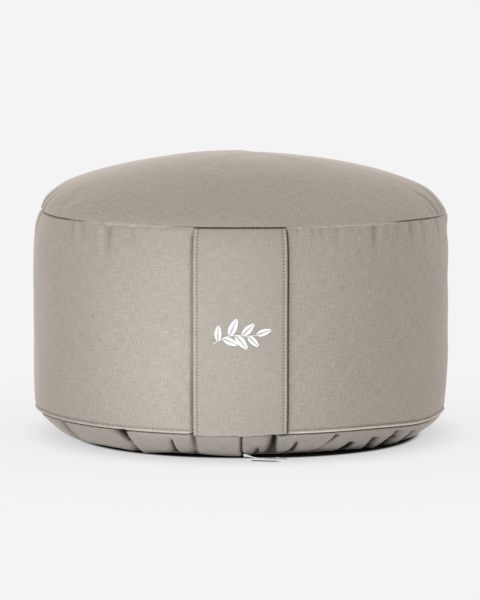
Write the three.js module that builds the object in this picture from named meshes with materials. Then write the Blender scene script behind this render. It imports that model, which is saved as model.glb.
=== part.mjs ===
// A round meditation cushion of cotton twill, packed firm with hulls and resting on its base.
//
// Millimetres, +Z up. The origin is the middle of the resting face. The carrying band is at the
// front, which faces -Y, so an angle of 0 points along -Y and +90 degrees along +X.
//
// The cover is one filled body: a crowned top, an upright wall that swells between two drawn-in
// seams, and a base that is pleated where it turns under to the floor. A carrying band, sewn into
// both seams, and a small label, sewn into the base's centre seam, are pieces of their own.

import * as THREE from 'three';
import { mergeVertices } from 'three/addons/utils/BufferGeometryUtils.js';

// ---- driving sizes ----

const WALL_RADIUS = 165; // the cushion at its widest
const WIDEST_HEIGHT = 109.5;

const TOP_SEAM = { radius: 158.3, height: 175.8, drop: 0.56 }; // drop: how much lower it is at +X
const CROWN_HEIGHT = 46.8; // the dome, above the top seam
const CROWN_ROUND = { across: 1.117, up: 0.904 }; // 1 and 1 would be an ellipse

const BASE_SEAM = { radius: 163.7, height: 21.6, drop: 1.08 };
const WALL_TURN = { above: 7.25, below: 7.9 }; // how late the wall turns in towards each seam
const SEAM_EDGE = { proud: 0.9, half: 1.6, tuck: 0.5 }; // the wall's turned and stitched lower edge

const FLOOR_RADIUS = 140.5; // the base where it meets the floor
const UNDER_ROUND = 1.67; // 1 would be a quarter ellipse, 2 a straight slope

const BAND = { from: -12.25, to: 12.0, thick: 2.2 }; // the carrying band's edges, in degrees
const GAP = 0.3; // clearance between sewn pieces

// The label's corners, as x and y, at its sewn root and at its loose tip. The root is lifted to
// the seam, and the label lies flat on the floor from the share "settled" of its length.
const LABEL = {
  root: { front: [1.9, -148.0], back: [2.6, -144.4], lift: { front: 4.2, back: 1.05 } },
  tip: { front: [33.0, -156.5], back: [36.5, -142.5] },
  settled: 0.4,
  thick: 1.0,
};

// ---- how finely the surfaces are divided ----

const AROUND = 120;
const CROWN_ROWS = 7;
const WALL_ROWS = 12;
const UNDER_ROWS = 5;
const BAND_COLUMNS = 12;

// The base's folds: at and lean in degrees, the others in millimetres. A fold starts at the angle
// "at" by the seam and leans round to at + lean by the floor. Reach is how far up it climbs from
// the floor, where 1 is all the way to the seam.
const FRONT_FOLDS = [
  { at: -57.4, lean: 3.0, deep: 3.0, wide: 11, reach: 1.0 },
  { at: -32.5, lean: 2.5, deep: 4.0, wide: 9, reach: 1.0 },
  { at: -18.9, lean: 0.3, deep: 1.6, wide: 8, reach: 0.7 },
  { at: 0.0, lean: 0.0, deep: 1.4, wide: 6, reach: 1.0 }, // the centre seam
  { at: 9.5, lean: 0.5, deep: 9.0, wide: 14, reach: 0.9 },
  { at: 27.5, lean: -5.5, deep: 2.0, wide: 9, reach: 0.9 },
  { at: 33.6, lean: -2.5, deep: 1.6, wide: 8, reach: 0.5 },
  { at: 48.0, lean: -3.0, deep: 4.0, wide: 10, reach: 0.9 },
  { at: 59.0, lean: -1.0, deep: 3.0, wide: 10, reach: 0.8 },
  { at: 78.0, lean: -3.0, deep: 3.0, wide: 10, reach: 1.0 },
];

// The folds round the back are spread evenly and then varied by up to the second group of values.
const BACK_FOLDS = {
  from: 95, to: 280, count: 11, deep: 2.8, wide: 10, reach: 0.8,
  sway: 4, leanBy: 3, deepBy: 1.2, reachBy: 0.2,
};

// The slow unevenness of hand-filled cloth: waves round the wall, in millimetres and radians.
const WAVES = [
  { count: 3, high: 0.35, phase: 0.8 },
  { count: 5, high: 0.25, phase: 2.2 },
];

// ---- small helpers ----

const radians = THREE.MathUtils.degToRad;
const smooth = (x) => THREE.MathUtils.smoothstep(x, 0, 1);

/** The point at an angle (radians, 0 at the front), a radius and a height. */
function polar(angle, radius, height) {
  return new THREE.Vector3(radius * Math.sin(angle), -radius * Math.cos(angle), height);
}

/** The shortest turn from one angle to another, in radians. */
function turn(from, to) {
  return Math.atan2(Math.sin(to - from), Math.cos(to - from));
}

/** Moves every vertex of a geometry and leaves a closed mesh that holds positions only. */
function reshape(geometry, place) {
  const position = geometry.attributes.position;
  const uv = geometry.attributes.uv;
  for (let i = 0; i < position.count; i++) {
    const from = new THREE.Vector3().fromBufferAttribute(position, i);
    const to = place(from, uv.getX(i), uv.getY(i));
    position.setXYZ(i, to.x, to.y, to.z);
  }
  geometry.deleteAttribute('normal');
  geometry.deleteAttribute('uv');
  const closed = mergeVertices(geometry, 1e-3);
  closed.computeVertexNormals();
  return closed;
}

// ---- the cover's surface ----

/** All the base's folds: the ones at the front, then a loop of uneven ones round the back. */
function listFolds() {
  const folds = [...FRONT_FOLDS];
  const back = BACK_FOLDS;
  const step = (back.to - back.from) / (back.count - 1);
  for (let i = 0; i < back.count; i++) {
    folds.push({
      at: back.from + i * step + back.sway * Math.sin(2.1 * i),
      lean: back.leanBy * Math.sin(1.7 * i + 1),
      deep: back.deep + back.deepBy * Math.sin(2.9 * i),
      wide: back.wide,
      reach: back.reach + back.reachBy * Math.sin(1.3 * i),
    });
  }
  return folds;
}

const FOLDS = listFolds();

/** How far the folds push the base inwards; down runs from 0 at the seam to 1 at the floor. */
function foldDepth(angle, down) {
  let depth = 0;
  for (const fold of FOLDS) {
    const middle = radians(fold.at + fold.lean * down);
    const across = (turn(middle, angle) * FLOOR_RADIUS) / fold.wide;
    const climb = smooth((down - 1 + fold.reach) / (0.7 * fold.reach));
    depth += fold.deep * climb * Math.exp(-across * across);
  }
  return depth;
}

/** How far the wall stands out or in at an angle, in millimetres. */
function uneven(angle) {
  return WAVES.reduce((sum, w) => sum + w.high * Math.sin(w.count * angle + w.phase), 0);
}

/** The wall's radius at a height fraction: -1 at the base seam, 0 where widest, 1 at the top seam. */
function wallRadius(part) {
  const seam = part > 0 ? TOP_SEAM : BASE_SEAM;
  const late = part > 0 ? WALL_TURN.above : WALL_TURN.below;
  return WALL_RADIUS - (WALL_RADIUS - seam.radius) * Math.abs(part) ** late;
}

/** The rows of the cover from the crown down to the floor, each giving a point at an angle. */
function coverRows() {
  const rows = [];
  const seamHeight = (seam, angle) => seam.height - seam.drop * Math.sin(angle);

  for (let i = 0; i < CROWN_ROWS; i++) {
    const lift = radians(90 * (1 - i / CROWN_ROWS));
    const radius = TOP_SEAM.radius * Math.max(Math.cos(lift), 0) ** CROWN_ROUND.across;
    const tilt = radius / TOP_SEAM.radius;
    const rise = TOP_SEAM.height + CROWN_HEIGHT * Math.sin(lift) ** CROWN_ROUND.up;
    rows.push({
      zone: 'crown',
      at: (angle) => ({
        radius: i === 0 ? 0 : radius,
        height: rise - TOP_SEAM.drop * tilt * Math.sin(angle),
      }),
    });
  }

  for (let i = 0; i <= WALL_ROWS; i++) {
    const part = Math.sin(radians(90 - (180 * i) / WALL_ROWS)); // closer rows near the seams
    const swell = 1 - part * part;
    const seam = part > 0 ? TOP_SEAM : BASE_SEAM;
    rows.push({
      zone: 'wall',
      at: (angle) => ({
        radius: wallRadius(part) + swell * uneven(angle),
        height: THREE.MathUtils.lerp(WIDEST_HEIGHT, seamHeight(seam, angle), Math.abs(part)),
      }),
    });
  }

  // The wall's lower edge is turned under and stitched, and stands a little proud.
  rows.push({
    zone: 'edge',
    at: (angle) => ({
      radius: BASE_SEAM.radius + SEAM_EDGE.proud,
      height: seamHeight(BASE_SEAM, angle) - SEAM_EDGE.half,
    }),
  });

  for (let i = 0; i <= UNDER_ROWS; i++) {
    const down = i / UNDER_ROWS;
    const slope = radians(90 * down);
    rows.push({
      zone: 'under',
      at: (angle) => {
        const top = seamHeight(BASE_SEAM, angle) - 2 * SEAM_EDGE.half;
        const out = BASE_SEAM.radius - SEAM_EDGE.tuck - FLOOR_RADIUS;
        return {
          radius: FLOOR_RADIUS + out * Math.cos(slope) ** UNDER_ROUND - foldDepth(angle, down),
          height: top * (1 - Math.sin(slope) ** UNDER_ROUND),
        };
      },
    });
  }

  rows.push({ zone: 'rest', at: () => ({ radius: 0, height: 0 }) });
  return rows;
}

const ROWS = coverRows();

// ---- the pieces ----

/** The filled cover: a sphere's rows and columns carried out to the rows of the cover. */
function cushionGeometry() {
  const last = ROWS.length - 1;
  const sphere = new THREE.SphereGeometry(1, AROUND, last);
  return reshape(sphere, (from, u, v) => {
    const row = Math.round((1 - v) * last);
    const angle = 2 * Math.PI * u - Math.PI / 2;
    const { radius, height } = ROWS[row].at(angle);
    return polar(angle, radius, height);
  });
}

/** The carrying band: a flat box bent round the wall, from the top seam to the stitched edge. */
function bandGeometry() {
  const rows = ROWS.filter((row) => row.zone === 'wall' || row.zone === 'edge');
  const steps = rows.length - 1;
  const box = new THREE.BoxGeometry(1, 1, 1, BAND_COLUMNS, steps, 1);
  return reshape(box, (from) => {
    const angle = radians(THREE.MathUtils.lerp(BAND.from, BAND.to, from.x + 0.5));
    const row = Math.round((0.5 - from.y) * steps);
    const { radius, height } = rows[row].at(angle);
    const out = from.z > 0 ? GAP + BAND.thick : GAP;
    return polar(angle, radius + out, height);
  });
}

/** The label: a tongue that leaves the base's centre seam and comes down flat on the floor. */
function labelGeometry() {
  const { root, tip } = LABEL;
  const box = new THREE.BoxGeometry(1, 1, 1, 12, 3, 1);
  return reshape(box, (from) => {
    const along = from.x + 0.5;
    const back = from.y + 0.5;
    const mix = (i) => THREE.MathUtils.lerp(
      THREE.MathUtils.lerp(root.front[i], tip.front[i], along),
      THREE.MathUtils.lerp(root.back[i], tip.back[i], along),
      back,
    );
    const settle = 1 - smooth(along / LABEL.settled);
    const lift = settle * THREE.MathUtils.lerp(root.lift.front, root.lift.back, back);
    return new THREE.Vector3(mix(0), mix(1), lift + (from.z > 0 ? LABEL.thick : 0));
  });
}

// ---- materials ----

const twill = new THREE.MeshStandardMaterial({ color: 0xb2a9a0, roughness: 0.86, metalness: 0 });
const bandTwill = new THREE.MeshStandardMaterial({ color: 0xb5aca3, roughness: 0.85, metalness: 0 });
const satin = new THREE.MeshStandardMaterial({ color: 0xeeedeb, roughness: 0.55, metalness: 0 });

// ---- the cushion ----

function piece(name, geometry, material) {
  const mesh = new THREE.Mesh(geometry, material);
  mesh.name = name;
  return mesh;
}

const zafu = new THREE.Group();
zafu.add(piece('cushion', cushionGeometry(), twill));
zafu.add(piece('carry_band', bandGeometry(), bandTwill));
zafu.add(piece('care_label', labelGeometry(), satin));

export default zafu;
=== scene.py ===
"""The looks of a round meditation cushion in greige twill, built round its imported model.

Lengths are millimetres and angles are degrees until a mesh is made, which is in metres. An angle
of 0 is at the front, towards -Y, and +90 is towards +X. The cover is one grid: its columns run
round the cushion, and its rows run from the crown's middle, over the top seam, down the wall,
over the stitched lower edge and under to the middle of the base. A row's place is its "run", the
distance along the cloth from the top seam, which is negative on the crown.
"""

import math

import bpy
import numpy as np
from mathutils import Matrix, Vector


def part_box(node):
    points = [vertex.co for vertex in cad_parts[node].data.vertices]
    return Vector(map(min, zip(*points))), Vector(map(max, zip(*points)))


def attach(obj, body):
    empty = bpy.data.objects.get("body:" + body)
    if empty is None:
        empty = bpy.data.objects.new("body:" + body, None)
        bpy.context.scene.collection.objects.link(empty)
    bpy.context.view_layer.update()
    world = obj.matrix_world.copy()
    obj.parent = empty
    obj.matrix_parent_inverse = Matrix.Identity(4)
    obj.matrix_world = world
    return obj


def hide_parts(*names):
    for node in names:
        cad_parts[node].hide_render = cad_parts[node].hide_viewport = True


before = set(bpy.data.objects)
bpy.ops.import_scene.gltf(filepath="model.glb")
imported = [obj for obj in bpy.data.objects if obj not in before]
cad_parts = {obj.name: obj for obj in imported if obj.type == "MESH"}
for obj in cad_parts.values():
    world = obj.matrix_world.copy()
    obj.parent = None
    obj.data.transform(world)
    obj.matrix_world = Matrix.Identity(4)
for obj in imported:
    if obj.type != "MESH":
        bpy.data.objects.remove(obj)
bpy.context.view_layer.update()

MM = 0.001

# ---- driving sizes ----

CROWN_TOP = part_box("cushion")[1].z / MM

# The outline's powers: of the crown's dome out and up, of the wall's turn to its upper and to its
# lower seam, and of the base's turn to the floor.
CROWN_ACROSS, CROWN_UP = 1.117, 0.904
TURN_ABOVE, TURN_BELOW = 7.25, 7.9
UNDER_ROUND = 1.67

WALL_RADIUS = 165.0
WIDEST_HEIGHT = 109.5
TOP_SEAM_RADIUS, TOP_SEAM_HEIGHT = 158.3, 175.8
BASE_SEAM_RADIUS, BASE_SEAM_HEIGHT = 163.7, 21.6

# The wall's lower edge is this wide and tucks in by this much. The base turns under at the floor
# radius, this far above the floor, and rests on it from the rest radius inwards.
EDGE_WIDTH, EDGE_TUCK = 0.9, 0.5
FLOOR_RADIUS, FOOT_LIFT = 140.5, 0.6
REST_RADIUS = 125.0

# The band's edges as angles, and the middles of the hollow and the cleft beside it.
BAND_FROM, BAND_TO = -12.25, 12.0
LEFT_OF_BAND, RIGHT_OF_BAND = BAND_FROM - 0.35, BAND_TO + 0.2

# Stitches: how far inside the band's edge, how far above the lower edge's ridge, and their pitch.
BAND_STITCH_IN, STITCH_PITCH = 2.95, 2.5
EDGE_STITCH_UP, EDGE_PITCH = 2.1, 2.4
EDGE_RIDGE_UP = 0.75

# Millimetres round the cushion for each degree: on the wall, by the top seam and on the base's
# folds, which lie a little outside the floor radius.
WALL_ARC = math.radians(WALL_RADIUS)
SEAM_ARC = math.radians(TOP_SEAM_RADIUS)
FOLD_ARC = math.radians(FLOOR_RADIUS + 8.0)

# ---- numpy helpers ----


def smooth(x):
    """0 below 0, 1 above 1, and an even S between."""
    x = np.clip(x, 0.0, 1.0)
    return x * x * (3.0 - 2.0 * x)


def hump(x, width):
    """1 at x = 0, falling off evenly on both sides like a bell."""
    return np.exp(-((x / width) ** 2))


def turn_from(angle, middle):
    """The shortest turn, in degrees, from the angle "middle" to each angle."""
    return (angle - middle + 180.0) % 360.0 - 180.0


def window(angle, start, end, soft):
    """1 between two angles and 0 outside them, with a soft change of that many degrees."""
    middle, half = (start + end) / 2, (end - start) / 2
    return smooth((half + soft / 2 - np.abs(turn_from(angle, middle))) / soft)


def polar(angle, radius, height):
    """Points at angles, radii and heights: x = radius × sin, y = -radius × cos."""
    a = np.radians(angle)
    return np.stack([radius * np.sin(a), -radius * np.cos(a), height + 0.0 * a], -1)


def waves(angle, run, seed, count, tightest, longest):
    """Smooth seeded unevenness of about -1 to 1: a sum of sine waves that run round and along."""
    rng = np.random.default_rng(seed)
    around = rng.integers(1, tightest, count)
    along = rng.uniform(-1.0, 1.0, count) * 2 * math.pi / longest
    start = rng.uniform(0.0, 2 * math.pi, count)
    total = 0.0
    for turns, pace, phase in zip(around, along, start):
        total = total + np.sin(turns * np.radians(angle) + pace * run + phase)
    return total / math.sqrt(count)


# ---- the cover's outline ----


def draw_outline():
    """The cover's outline as run, radius and height, finely sampled.

    Crown: radius = seam radius × cos(w)^across and height = seam + dome × sin(w)^up, for w from
    90 to 0 degrees. Wall: it narrows from the widest height to each seam by a high power of the
    share of the way there. Edge: straight down. Base: a rounded quarter turn to the floor, as
    cos and sin of its own angle to a power, which ends a little above the floor, tucks under to
    it in an even S, and then lies flat to the middle.
    """
    lift = np.radians(np.linspace(90.0, 0.0, 900))
    crown_r = TOP_SEAM_RADIUS * np.clip(np.cos(lift), 0, 1) ** CROWN_ACROSS
    crown_z = TOP_SEAM_HEIGHT + (CROWN_TOP - TOP_SEAM_HEIGHT) * np.sin(lift) ** CROWN_UP

    part = np.linspace(1.0, -1.0, 1200)
    seam_r = np.where(part > 0, TOP_SEAM_RADIUS, BASE_SEAM_RADIUS)
    seam_z = np.where(part > 0, TOP_SEAM_HEIGHT, BASE_SEAM_HEIGHT)
    late = np.where(part > 0, TURN_ABOVE, TURN_BELOW)
    wall_r = WALL_RADIUS - (WALL_RADIUS - seam_r) * np.abs(part) ** late
    wall_z = WIDEST_HEIGHT + (seam_z - WIDEST_HEIGHT) * np.abs(part)

    slope = np.radians(np.linspace(0.0, 90.0, 500))
    out = BASE_SEAM_RADIUS - EDGE_TUCK - FLOOR_RADIUS
    under_r = FLOOR_RADIUS + out * np.cos(slope) ** UNDER_ROUND
    fall = BASE_SEAM_HEIGHT - EDGE_WIDTH - FOOT_LIFT
    under_z = FOOT_LIFT + fall * (1 - np.sin(slope) ** UNDER_ROUND)

    tuck = np.linspace(0.0, 1.0, 60)[1:]
    tuck_r = FLOOR_RADIUS + (REST_RADIUS - FLOOR_RADIUS) * tuck
    tuck_z = FOOT_LIFT * (1 - smooth(tuck))

    radius = np.concatenate([crown_r, wall_r[1:], under_r, tuck_r, [0.0]])
    height = np.concatenate([crown_z, wall_z[1:], under_z, tuck_z, [0.0]])
    length = np.concatenate([[0.0], np.cumsum(np.hypot(np.diff(radius), np.diff(height)))])
    seam, edge = len(crown_r) - 1, len(crown_r) + len(wall_r) - 2
    run = length - length[seam]
    foot = edge + len(under_r)
    return run, radius, height, run[[0, edge, edge + 1, foot, -2, -1]]


OUTLINE_RUN, OUTLINE_RADIUS, OUTLINE_HEIGHT, MARKS = draw_outline()
APEX, EDGE_TOP, EDGE_FOOT, FOOT_RUN, FLOOR_RUN, BASE_MIDDLE = MARKS
EDGE_RIDGE = EDGE_FOOT - EDGE_RIDGE_UP
SEAM_STITCHES = EDGE_RIDGE - EDGE_STITCH_UP


def outline_at(run):
    """Radius, height and the outward normal's two parts at each run."""
    radius = np.interp(run, OUTLINE_RUN, OUTLINE_RADIUS)
    height = np.interp(run, OUTLINE_RUN, OUTLINE_HEIGHT)
    near = 0.8
    ends = np.clip(run + near, APEX, BASE_MIDDLE), np.clip(run - near, APEX, BASE_MIDDLE)
    step_r, step_z = (
        np.interp(ends[0], OUTLINE_RUN, outline) - np.interp(ends[1], OUTLINE_RUN, outline)
        for outline in (OUTLINE_RADIUS, OUTLINE_HEIGHT)
    )
    long = np.maximum(np.hypot(step_r, step_z), 1e-9)
    return radius, height, -step_z / long, step_r / long


# ---- the cover's hollows, gathers and pleats ----

# Broad swells (+) and hollows (-) of the filled cloth: where, how high, and how far each way.
SWELLS = [
    # at, run, high, around, along
    (90, -18, 2.0, 14, 12),
    (90, 0, 4.6, 13, 9),
    (-90, -20, -0.9, 16, 10),
    (-90, 14, -0.5, 16, 20),
    (86, 150, -1.5, 10, 16),
    (-92, 172, -2.5, 16, 12),
    (92, 172, 1.0, 12, 10),
]

# Where the whole cloth sits higher (+) or lower (-).
SHIFTS = [
    # at, run, up, around, along
    (-90, 0, 1.7, 20, 30),
    (90, 0, -2.4, 22, 26),
    (98, 157, -6.0, 14, 22),
    (60, 157, -2.8, 16, 22),
    (78, -70, -2.0, 45, 55),
]

# Soft gathers of the wall below the top seam and of the crown above it, as valleys (+) or
# ridges (-): how deep, how wide, how long, and how far they lean by their far end.
GATHERS = [
    # at, deep, wide, long, lean, side
    (-52.8, 0.75, 2.6, 18, 1.2, 1),
    (-50.2, -0.45, 2.2, 18, 1.2, 1),
    (-48.2, 0.65, 2.4, 16, 1.0, 1),
    (-40.6, -0.6, 3.0, 26, 1.0, 1),
    (-38.2, 1.1, 3.0, 28, 0.8, 1),
    (-30.4, 0.5, 2.6, 18, 0.6, 1),
    (15.6, 0.5, 2.4, 13, -0.4, 1),
    (20.2, 0.5, 2.4, 15, -0.5, 1),
    (22.3, 0.55, 2.2, 12, -0.5, 1),
    (27.0, 0.5, 2.4, 18, -0.6, 1),
    (38.8, 1.1, 3.0, 26, -1.0, 1),
    (41.0, -0.4, 2.4, 18, -1.2, 1),
    (43.4, 0.6, 2.4, 18, -1.2, 1),
    (47.4, 0.6, 2.6, 16, -1.4, 1),
    (53.6, 0.9, 3.0, 30, -1.8, 1),
    (60.0, 0.6, 3.0, 22, -2.4, 1),
    (71.0, 0.6, 3.0, 24, -2.0, 1),
    (80.0, 0.9, 2.6, 26, 2.0, -1),
    (75.5, 1.3, 2.6, 30, -3.5, -1),
    (86.0, 0.8, 2.4, 24, 2.0, -1),
    (70.0, 0.5, 2.6, 18, -3.0, -1),
    (-76.5, 0.8, 2.4, 24, 2.5, -1),
    (-82.0, 0.9, 2.4, 26, 1.0, -1),
    (-88.0, 0.7, 2.4, 22, -1.0, -1),
    (-80.0, 0.7, 3.0, 24, 1.0, 1),
    (-88.0, 0.6, 3.0, 22, 1.0, 1),
]

GATHER_SHARE = 2.6

# Pleats and valleys of the base: the angle of the fold's edge by the seam and by the floor, how
# deep and wide its tucked side is, how wide its proud side's turn is, how far the proud side lies
# over it, which side is tucked (-1: towards smaller angles), and the share of the way at which it
# starts.
PLEATS = [
    # top, foot, deep, wide, crisp, over, tucked, start
    (-56.9, -57.3, 3.0, 7.0, 0.9, 0.6, -1, 0.00),
    (-36.8, -33.0, 0.9, 2.5, 1.4, 0.0, -1, 0.02),
    (-32.2, -31.2, 4.6, 5.0, 0.7, 1.2, -1, 0.00),
    (-18.9, -18.8, 2.6, 3.6, 0.7, 0.8, -1, 0.22),
    (-12.7, -13.9, 1.5, 2.6, 2.6, 0.0, -1, 0.00),
    (4.9, 4.9, 1.6, 2.4, 2.0, 0.0, -1, 0.50),
    (8.9, 9.9, 4.8, 3.2, 2.4, 0.0, -1, 0.05),
    (15.9, 14.6, 1.8, 2.6, 1.6, 0.4, 1, 0.25),
    (27.0, 21.4, 1.5, 5.0, 0.7, 0.6, 1, 0.08),
    (34.6, 30.9, 2.2, 4.0, 1.6, 0.3, 1, 0.45),
    (39.8, 42.8, 1.6, 4.0, 3.0, 0.0, 1, 0.35),
    (48.4, 46.6, 3.4, 8.5, 1.0, 1.0, 1, 0.18),
    (56.6, 59.0, 2.2, 6.0, 1.2, 0.8, 1, 0.25),
    (78.4, 71.0, 2.6, 5.0, 1.0, 0.8, 1, 0.00),
]
PLEAT_SHARE = 1.25

# Painted shade beside the folds: the shaded place's edge by the seam and by the floor, on which side
# of it the painted shade is (0: on both), from what share of the way down to what share, how wide it
# is at its upper and at its lower end, and how dark.
FOLD_SHADES = [
    # top, foot, side, start, end, wide above, wide below, dark
    (-56.9, -57.3, -1, 0.00, 0.90, 8.0, 9.0, 0.70),
    (-32.0, -31.1, -1, 0.03, 0.46, 11.0, 6.0, 1.30),
    (-32.0, -31.1, -1, 0.44, 1.00, 5.0, 7.5, 0.80),
    (-18.9, -18.6, -1, 0.33, 1.00, 2.4, 6.0, 1.30),
    (-12.8, -13.4, 0, 0.00, 0.95, 2.4, 2.4, 0.60),
    (4.9, 4.9, 0, 0.64, 1.00, 1.2, 2.8, 1.20),
    (9.4, 10.3, -1, 0.10, 1.00, 2.2, 9.0, 1.40),
    (16.2, 15.2, 0, 0.38, 1.00, 1.4, 3.4, 0.95),
    (27.0, 21.0, 1, 0.12, 0.45, 4.4, 2.6, 1.20),
    (27.0, 21.0, 1, 0.45, 0.95, 2.4, 2.4, 0.80),
    (36.4, 31.4, 1, 0.52, 1.00, 2.6, 9.0, 1.20),
    (41.3, 42.3, 0, 0.38, 1.00, 4.4, 7.0, 0.90),
    (48.2, 46.4, 1, 0.16, 0.55, 7.0, 12.0, 1.00),
    (48.2, 46.4, 1, 0.50, 1.00, 12.0, 20.0, 1.10),
    (57.0, 60.8, 1, 0.40, 1.00, 8.0, 12.0, 0.80),
    (78.0, 71.0, 1, 0.00, 0.90, 6.0, 12.0, 0.60),
]

# Painted highlight along the edges of the folds.
FOLD_HIGHLIGHTS = [
    # top, foot, start, end, wide, light
    (-32.0, -31.0, 0.02, 0.95, 0.7, 0.45),
    (-37.4, -22.0, 0.07, 0.33, 0.7, 0.40),
    (-18.7, -18.3, 0.36, 0.95, 0.8, 0.35),
    (26.7, 20.7, 0.20, 0.85, 0.8, 0.25),
    (47.9, 46.2, 0.20, 0.90, 0.8, 0.25),
]

# The back's seeded gathers and pleats: from which angle to which, and how many.
BACK_GATHERS = (96.0, 264.0, 24)
BACK_PLEATS = (94.0, 282.0, 15)

# The crown leaves the front of its seam at a lower slope: height = dome × (1 - share of radius²).
SHALLOW_FROM, SHALLOW_TO, SHALLOW_SOFT = -54.0, 54.0, 80.0
SHALLOW_SHARE = 0.85

# How open the top seam's cleft is, by angle: the cloth closes over it on both sides of the band.
SEAM_SHOWN = [
    # at, share
    (-60, 1.0), (-51, 0.6), (-45, 0.1), (-22, 0.1), (-13, 0.6),
    (13, 0.3), (34, 0.1), (45, 0.2), (52, 1.0),
]

UNDER_BAND_SOFT = 1.2
HALF_JOIN_DEEP = 4.5

# Where the base's lower edge stands higher off the floor: where, how high, how far each way.
FOOT_RISES = [
    # at, up, around
    (-17, 2.3, 9),
    (9, 3.0, 7),
    (19, 2.4, 9),
    (33, 1.4, 9),
    (-48, 1.4, 14),
]


def by_table(table, angle, run):
    """The sum of broad bells, one for each row of a table of swells or shifts."""
    total = 0.0
    for at, place, high, around, along in table:
        total = total + high * hump(turn_from(angle, at), around) * hump(run - place, along)
    return total


def seam_shown(angle):
    """How open the top seam is at each angle, read between the places of its table."""
    at, share = np.array(SEAM_SHOWN).T
    return np.interp(angle, at, share, period=360)


def top_seam(angle, run):
    """The plain top seam: a narrow cleft between two softly rolled edges, and where the band is
    caught in it, a deeper recess for the band under a fuller roll."""
    banded = window(angle, BAND_FROM, BAND_TO, UNDER_BAND_SOFT)
    shown = seam_shown(angle)
    cleft = 1.6 * shown * np.exp(-np.abs(run) / 0.7) * (1 - banded)
    recess = 3.5 * smooth((run + 0.9) / 0.6) * (1 - smooth((run - 1.0) / 2.2)) * banded
    crown_roll = (0.45 + 0.5 * banded) * hump(run + 2.0, 1.5)
    wall_roll = (0.4 + 0.8 * window(angle, -62.0, 62.0, 20.0)) * hump(run - 4.0, 3.3) * (1 - banded)
    return crown_roll + wall_roll - cleft - recess


def lower_edge(angle, run):
    """The wall's turned lower edge: a stitched dip, a rounded ridge, and a cleft under it."""
    banded = window(angle, BAND_FROM, BAND_TO, UNDER_BAND_SOFT)
    dip = 0.5 * hump(run - SEAM_STITCHES, 0.9)
    ridge = 1.2 * hump(run - EDGE_RIDGE, 0.8)
    cleft = 3.0 * np.exp(-np.abs(run - EDGE_FOOT - 0.35) / 0.6)
    return (ridge - dip) * (1 - 0.9 * banded) - cleft


def list_gathers():
    """The front's gathers and, round the back, seeded ones of the same kind."""
    rng = np.random.default_rng(23)
    found = list(GATHERS)
    for at in np.linspace(*BACK_GATHERS):
        deep, wide = rng.uniform(0.3, 1.0), rng.uniform(2.2, 3.2)
        long, lean = rng.uniform(14.0, 30.0), rng.uniform(-2.0, 2.0)
        at = at + rng.uniform(-3.0, 3.0)
        found.append((at, deep, wide, long, lean, 1 if rng.random() < 0.7 else -1))
    return found


ALL_GATHERS = list_gathers()


def gather_all(angle, run):
    """Gathers by the top seam: bells round the cushion that grow from the seam and fade out."""
    total = 0.0
    for at, deep, wide, long, lean, side in ALL_GATHERS:
        away = run * side
        share = np.clip(away / long, 0.0, 2.0)
        across = turn_from(angle, at + lean * share) * SEAM_ARC
        grow = smooth(away / 3.0) * np.exp(-((away / long) ** 2) * 1.6)
        total = total - GATHER_SHARE * deep * hump(across, wide) * grow
    return total


def list_pleats():
    """The front's pleats and, round the back, seeded ones of the same kind."""
    rng = np.random.default_rng(11)
    found = list(PLEATS)
    for at in np.linspace(*BACK_PLEATS):
        top = at + rng.uniform(-4.0, 4.0)
        foot = top + rng.uniform(-4.0, 4.0)
        deep, wide = rng.uniform(1.4, 4.4), rng.uniform(3.5, 7.5)
        crisp, over = rng.uniform(0.8, 2.2), rng.uniform(0.0, 1.2)
        found.append((top, foot, deep, wide, crisp, over, rng.choice([-1, 1]), rng.uniform(0.0, 0.4)))
    return found


ALL_PLEATS = list_pleats()


def down_base(run):
    """The share of the way down the base's turn: 0 at the lower edge and 1 by the floor."""
    return (run - EDGE_FOOT) / (FOOT_RUN - EDGE_FOOT)


def from_fold(angle, share, top, foot):
    """The distance round from a fold, which leans from one angle by the seam to one by the floor."""
    return turn_from(angle, top + (foot - top) * share) * FOLD_ARC


def pleat_places(angle, run):
    """For each pleat: its row of the table, the distance round from its fold's edge, which is
    positive on the tucked side, and how far the fold has opened there, from 0 to 1."""
    share = down_base(run)
    for pleat in ALL_PLEATS:
        top, foot, tucked, start = pleat[0], pleat[1], pleat[6], pleat[7]
        x = from_fold(angle, share, top, foot) * tucked
        yield pleat, x, smooth((share - start + 0.06) / 0.18) * (1 - smooth((share - 1.0) / 0.35))


def pleat_all(angle, run):
    """How far the base's pleats move the cloth out and round.

    With x the distance round from a fold's edge, the tucked side sinks as deep × exp(-(x/wide)^1.4)
    and the proud side comes back up as exp(-(x/crisp)²), with a small lip that lies over the tuck.
    """
    out, round_by = 0.0, 0.0
    for (_, _, deep, wide, crisp, over, tucked, _), x, opened in pleat_places(angle, run):
        sunk = np.exp(-(np.maximum(x, 0.0) / wide) ** 1.4) * hump(np.minimum(x, 0.0), crisp)
        lip = hump(x + 1.8 * crisp, 1.3 * crisp + 0.8)
        out = out + opened * (0.16 * deep * lip - PLEAT_SHARE * deep * sunk)
        round_by = round_by + opened * over * tucked * hump(x + crisp, crisp + 0.6)
    return out, round_by


def half_join(angle, run):
    """The seam that joins the base's two half rounds: a sharp cleft at the front and the back."""
    under = smooth((run - EDGE_FOOT + 0.5) / 1.5)
    radius = np.interp(run, OUTLINE_RUN, OUTLINE_RADIUS)
    bend = 0.7 * smooth((run - FOOT_RUN + 9.0) / 9.0)
    off = np.minimum(np.abs(turn_from(angle, 0.2 + bend)), np.abs(turn_from(angle, 180.0)))
    across = np.radians(off) * radius
    return under * (0.4 * hump(across - 2.4, 1.6) - HALF_JOIN_DEEP * np.exp(-across / 0.8))


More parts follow.
